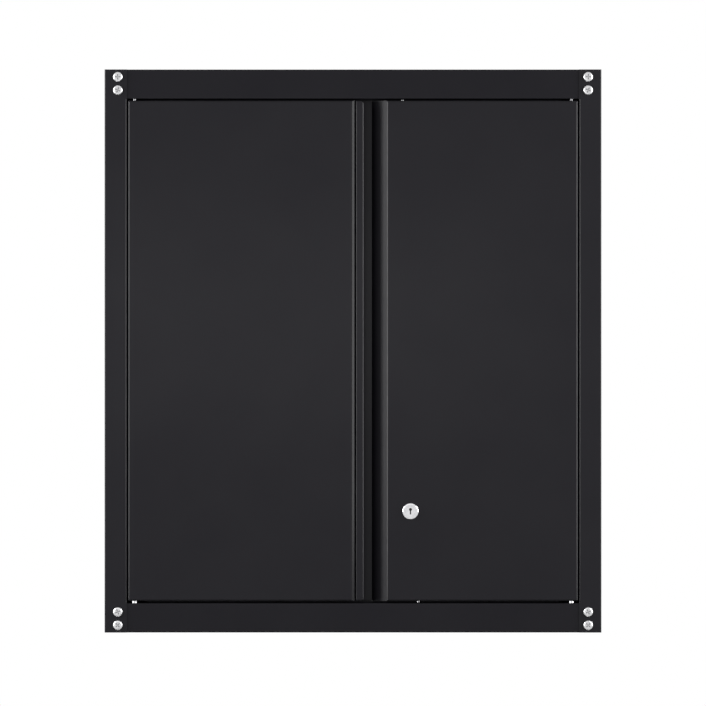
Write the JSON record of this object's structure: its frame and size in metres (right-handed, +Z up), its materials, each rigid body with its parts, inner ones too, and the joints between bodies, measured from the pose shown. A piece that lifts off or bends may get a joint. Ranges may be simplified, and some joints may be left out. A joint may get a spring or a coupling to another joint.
{
  "type": "hanging wall cabinet",
  "caption": "Hanging wall cabinet of black sheet steel: paired hinged doors, a full-height finger pull, a key lock with sliding rods, and a shelf inside.",
  "frame": {"origin": "centre of the four wall holes, on the wall face of the back panel", "axes": "+X to the right seen from the front, +Y from the front to the wall, +Z up"},
  "size_m": [0.6, 0.3037, 0.68],
  "materials": {
    "black_paint": "satin black powder coat",
    "zinc_steel": "bright zinc plate",
    "plain_steel": "drawn steel, lightly oiled",
    "lock_chrome": "polished chrome plate",
    "white_nylon": "natural nylon",
    "black_plastic": "moulded",
    "magnet_steel": "bare ground ferrite and steel",
    "black_rubber": "matt"
  },
  "bodies": {
    "cabinet": {"left_side_panel": "black_paint", "right_side_panel": "black_paint", "top_panel": "black_paint", "bottom_panel": "black_paint", "back_panel": "black_paint", "upper_hanging_rail": "black_paint", "lower_hanging_rail": "black_paint", "back_panel_rivets": "black_paint", "front_corner_screws": "zinc_steel", "corner_weld_nuts": "zinc_steel", "upper_hinge_pins": "plain_steel", "lower_hinge_pins": "plain_steel", "hinge_washers": "zinc_steel", "shelf": "black_paint", "left_shelf_standards": "black_paint", "right_shelf_standards": "black_paint", "shelf_clips": "zinc_steel", "left_catch_housing": "black_plastic", "right_catch_housing": "black_plastic", "catch_magnets": "magnet_steel", "catch_screws": "zinc_steel", "stop_bumpers": "black_rubber"},
    "left_door": {"left_door_skin": "black_paint", "left_door_stiffener": "black_paint", "left_door_bushes": "white_nylon"},
    "right_door": {"right_door_skin": "black_paint", "right_door_stiffener": "black_paint", "right_door_bushes": "white_nylon", "lock_housing": "lock_chrome", "lock_nut": "zinc_steel", "rod_end_guides": "white_nylon", "rod_guide_block": "white_nylon"},
    "lock": {"lock_plug": "lock_chrome", "lock_cam": "zinc_steel", "cam_screw": "zinc_steel", "cam_pin_clips": "zinc_steel"},
    "top_rod": {"top_lock_rod": "zinc_steel"},
    "bottom_rod": {"bottom_lock_rod": "zinc_steel"}
  },
  "joints": [
    {"name": "left_door_hinge", "type": "hinge", "parent": "cabinet", "child": "left_door", "pos_m": [-0.264, -0.2945, 0], "axis": [0, 0, -1], "range_deg": [0, 110]},
    {"name": "right_door_hinge", "type": "hinge", "parent": "cabinet", "child": "right_door", "pos_m": [0.264, -0.2945, 0], "axis": [0, 0, 1], "range_deg": [0, 110]},
    {"name": "lock_turn", "type": "hinge", "parent": "right_door", "child": "lock", "pos_m": [0.0694, -0.295, -0.1935], "axis": [0, 1, 0], "range_deg": [0, 90]},
    {"name": "top_rod_slide", "type": "slide", "parent": "right_door", "child": "top_rod", "axis": [0, 0, 1], "range_m": [0, 0.01555]},
    {"name": "bottom_rod_slide", "type": "slide", "parent": "right_door", "child": "bottom_rod", "axis": [0, 0, -1], "range_m": [0, 0.01556]}
  ],
  "couplings": [
    {"joint": "lock_turn", "follows": "top_rod_slide", "rad_per_m": 100.97},
    {"joint": "bottom_rod_slide", "follows": "top_rod_slide", "ratio": 1}
  ]
}
